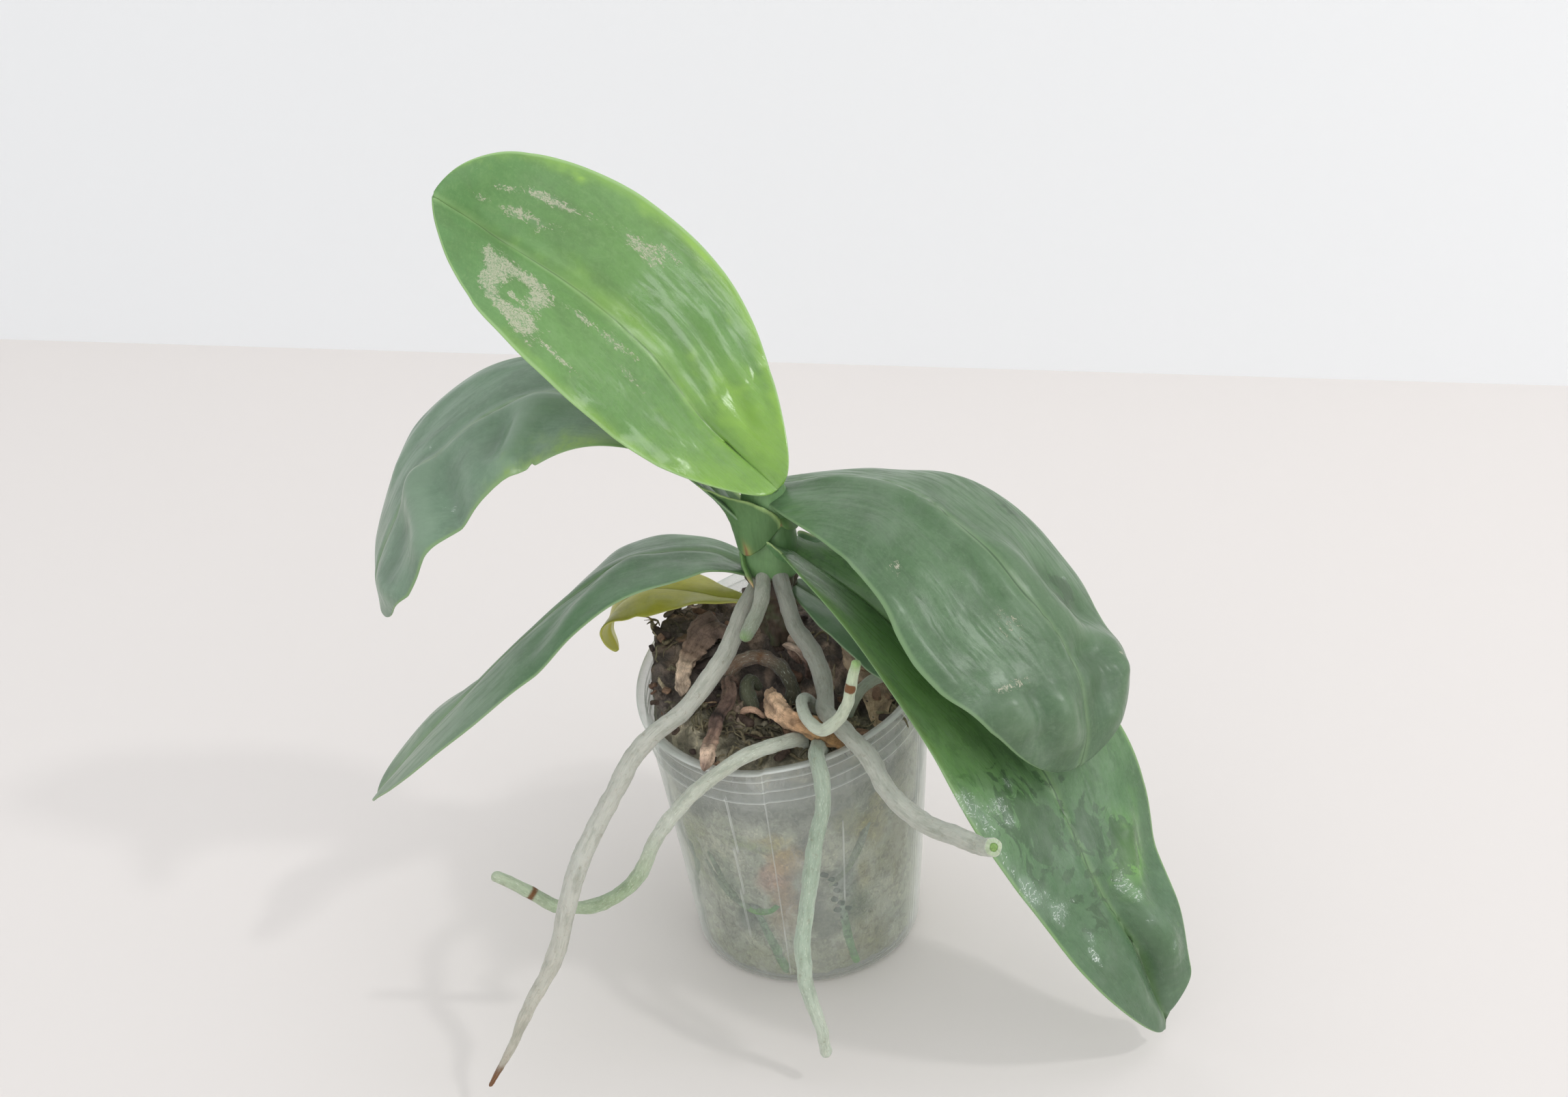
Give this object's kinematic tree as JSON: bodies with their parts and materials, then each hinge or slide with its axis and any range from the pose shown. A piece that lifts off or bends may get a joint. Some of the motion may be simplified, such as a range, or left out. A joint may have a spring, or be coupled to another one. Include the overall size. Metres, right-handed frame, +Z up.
{
  "type": "potted moth orchid",
  "caption": "Moth orchid out of flower in a clear nursery pot: broad strap leaves in two ranks, grey-green aerial roots over the rim, a root ball of moss and bark.",
  "frame": {"origin": "centre of the pot's underside", "axes": "+Z up the pot's axis, +X to the viewer's right, +Y away from the viewer"},
  "size_m": [0.2922, 0.1886, 0.3136],
  "materials": {
    "clear_pot": "soft clear plastic, slightly hazy",
    "root_ball": "damp moss, bark and old roots",
    "stem_green": "waxy green",
    "leaf_green": "thick waxy leaf",
    "leaf_bright": "young glossy leaf",
    "leaf_yellow": "old leaf turning yellow",
    "root_silver": "dry silver-green root skin",
    "root_brown": "dead root skin",
    "dry_tissue": "dried sheath, papery"
  },
  "bodies": {
    "root": {"pot": "clear_pot", "root_ball": "root_ball", "stem": "stem_green", "leaf_1": "leaf_yellow", "leaf_2": "leaf_green", "leaf_3": "leaf_green", "leaf_4": "leaf_green", "leaf_5": "leaf_green", "leaf_6": "leaf_green", "leaf_7": "leaf_bright", "aerial_root_1": "root_silver", "aerial_root_2": "root_silver", "aerial_root_3": "root_silver", "aerial_root_4": "root_silver", "aerial_root_5": "root_silver", "aerial_root_6": "root_silver", "aerial_root_7": "root_silver", "surface_root_1": "root_brown", "surface_root_2": "root_silver", "dry_scale_1": "dry_tissue", "dead_root_1": "dry_tissue", "dry_sheath_1": "dry_tissue", "dry_twig_1": "dry_tissue", "dry_curl_1": "dry_tissue", "dry_leaf_1": "dry_tissue"}
  },
  "joints": []
}
